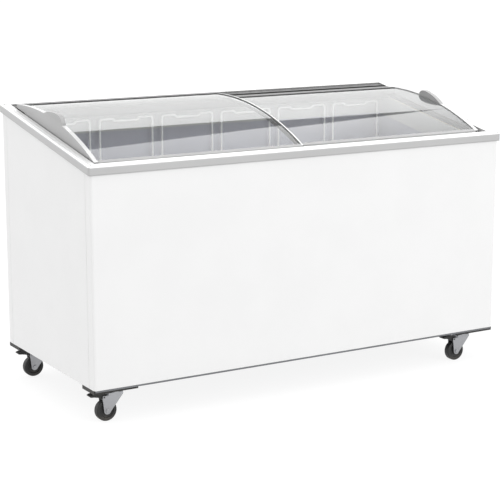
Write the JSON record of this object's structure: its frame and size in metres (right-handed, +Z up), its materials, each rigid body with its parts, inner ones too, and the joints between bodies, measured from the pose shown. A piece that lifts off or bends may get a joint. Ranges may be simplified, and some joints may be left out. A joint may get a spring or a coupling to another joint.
{
  "type": "chest freezer",
  "caption": "Display chest freezer with a sloping top, sliding curved glass lids, wire baskets in the tank and braked swivel casters.",
  "frame": {"origin": "on the floor, under the middle of the cabinet", "axes": "+X along the cabinet to its right-hand end, +Y towards the back, +Z up; the front faces -Y"},
  "size_m": [1.505, 0.67, 0.8986],
  "materials": {
    "white_sheet": "satin white powder coat",
    "rim_trim": "light satin extrusion",
    "zinc_steel": "zinc plated",
    "black_steel": "satin black paint",
    "foam": "rigid foam",
    "liner_sheet": "stucco aluminium",
    "strip_plastic": "satin",
    "track_dark": "satin",
    "track_light": "satin",
    "white_wire": "plastic coated wire",
    "rubber": "matte",
    "black_plastic": "matte",
    "pale_plastic": "satin",
    "copper": "drawn copper",
    "glass": "clear tempered",
    "lid_frame": "satin grey",
    "edge_dark": "satin dark grey",
    "edge_light": "satin light grey",
    "grip_grey": "satin grey",
    "fork_zinc": "bright zinc",
    "wheel_tyre": "matte black",
    "pedal_black": "satin black"
  },
  "bodies": {
    "cabinet": {"front_panel": "white_sheet", "rear_panel": "white_sheet", "left_side_panel": "white_sheet", "right_side_panel": "white_sheet", "base_tray": "zinc_steel", "corner_brackets": "black_steel", "insulation_foam": "foam", "inner_liner": "liner_sheet", "breaker_strips": "strip_plastic", "rim_front": "rim_trim", "rim_rear": "rim_trim", "rim_left": "rim_trim", "rim_right": "rim_trim", "rear_track": "track_dark", "front_track": "track_light", "side_rails": "track_dark", "basket_1": "white_wire", "basket_2": "white_wire", "basket_3": "white_wire", "basket_4": "white_wire", "basket_5": "white_wire", "basket_6": "white_wire", "basket_rails": "zinc_steel", "compressor": "black_steel", "compressor_grommets": "rubber", "condenser": "zinc_steel", "fan_motor": "black_plastic", "refrigerant_lines": "copper", "evaporator_coil": "copper", "thermostat": "black_plastic", "side_grille": "black_plastic", "rear_cover": "white_sheet", "cable_gland": "black_plastic", "drain_plug": "pale_plastic", "fasteners": "zinc_steel", "caster_plates": "zinc_steel"},
    "left_lid": {"left_lid_glass": "glass", "left_lid_end_frame": "lid_frame", "left_lid_edge_strip": "edge_light", "left_lid_handle": "grip_grey", "left_lid_sliders": "pale_plastic"},
    "right_lid": {"right_lid_glass": "glass", "right_lid_end_frame": "lid_frame", "right_lid_edge_strip": "edge_dark", "right_lid_handle": "grip_grey", "right_lid_sliders": "pale_plastic"},
    "fan": {"fan_blades": "pale_plastic"},
    "thermostat_dial": {"thermostat_knob": "black_plastic"},
    "swivel_fl": {"caster_fl_fork": "fork_zinc"},
    "wheel_fl": {"caster_fl_wheel": "wheel_tyre"},
    "brake_fl": {"caster_fl_pedal": "pedal_black"},
    "swivel_fr": {"caster_fr_fork": "fork_zinc"},
    "wheel_fr": {"caster_fr_wheel": "wheel_tyre"},
    "brake_fr": {"caster_fr_pedal": "pedal_black"},
    "swivel_rl": {"caster_rl_fork": "fork_zinc"},
    "wheel_rl": {"caster_rl_wheel": "wheel_tyre"},
    "brake_rl": {"caster_rl_pedal": "pedal_black"},
    "swivel_rr": {"caster_rr_fork": "fork_zinc"},
    "wheel_rr": {"caster_rr_wheel": "wheel_tyre"},
    "brake_rr": {"caster_rr_pedal": "pedal_black"}
  },
  "joints": [
    {"name": "left_lid_slide", "type": "slide", "parent": "cabinet", "child": "left_lid", "axis": [1, 0, 0], "range_m": [0, 0.65]},
    {"name": "right_lid_slide", "type": "slide", "parent": "cabinet", "child": "right_lid", "axis": [1, 0, 0], "range_m": [-0.65, 0]},
    {"name": "fan_spin", "type": "hinge", "parent": "cabinet", "child": "fan", "pos_m": [0.62, -0.15, 0.255], "axis": [0, 1, 0], "continuous": true},
    {"name": "thermostat_turn", "type": "hinge", "parent": "cabinet", "child": "thermostat_dial", "pos_m": [0.735, 0.24, 0.26], "axis": [1, 0, 0], "range_deg": [-135, 135]},
    {"name": "swivel_turn_fl", "type": "hinge", "parent": "cabinet", "child": "swivel_fl", "pos_m": [-0.656, -0.276, 0.09], "axis": [0, 0, 1], "continuous": true},
    {"name": "wheel_roll_fl", "type": "hinge", "parent": "swivel_fl", "child": "wheel_fl", "pos_m": [-0.686, -0.276, 0.033], "axis": [0, 1, 0], "continuous": true},
    {"name": "brake_press_fl", "type": "hinge", "parent": "swivel_fl", "child": "brake_fl", "pos_m": [-0.696, -0.276, 0.076], "axis": [0, -1, 0], "range_deg": [0, 18]},
    {"name": "swivel_turn_fr", "type": "hinge", "parent": "cabinet", "child": "swivel_fr", "pos_m": [0.656, -0.276, 0.09], "axis": [0, 0, 1], "continuous": true},
    {"name": "wheel_roll_fr", "type": "hinge", "parent": "swivel_fr", "child": "wheel_fr", "pos_m": [0.626, -0.276, 0.033], "axis": [0, 1, 0], "continuous": true},
    {"name": "brake_press_fr", "type": "hinge", "parent": "swivel_fr", "child": "brake_fr", "pos_m": [0.616, -0.276, 0.076], "axis": [0, -1, 0], "range_deg": [0, 18]},
    {"name": "swivel_turn_rl", "type": "hinge", "parent": "cabinet", "child": "swivel_rl", "pos_m": [-0.656, 0.276, 0.09], "axis": [0, 0, 1], "continuous": true},
    {"name": "wheel_roll_rl", "type": "hinge", "parent": "swivel_rl", "child": "wheel_rl", "pos_m": [-0.686, 0.276, 0.033], "axis": [0, 1, 0], "continuous": true},
    {"name": "brake_press_rl", "type": "hinge", "parent": "swivel_rl", "child": "brake_rl", "pos_m": [-0.696, 0.276, 0.076], "axis": [0, -1, 0], "range_deg": [0, 18]},
    {"name": "swivel_turn_rr", "type": "hinge", "parent": "cabinet", "child": "swivel_rr", "pos_m": [0.656, 0.276, 0.09], "axis": [0, 0, 1], "continuous": true},
    {"name": "wheel_roll_rr", "type": "hinge", "parent": "swivel_rr", "child": "wheel_rr", "pos_m": [0.626, 0.276, 0.033], "axis": [0, 1, 0], "continuous": true},
    {"name": "brake_press_rr", "type": "hinge", "parent": "swivel_rr", "child": "brake_rr", "pos_m": [0.616, 0.276, 0.076], "axis": [0, -1, 0], "range_deg": [0, 18]}
  ]
}
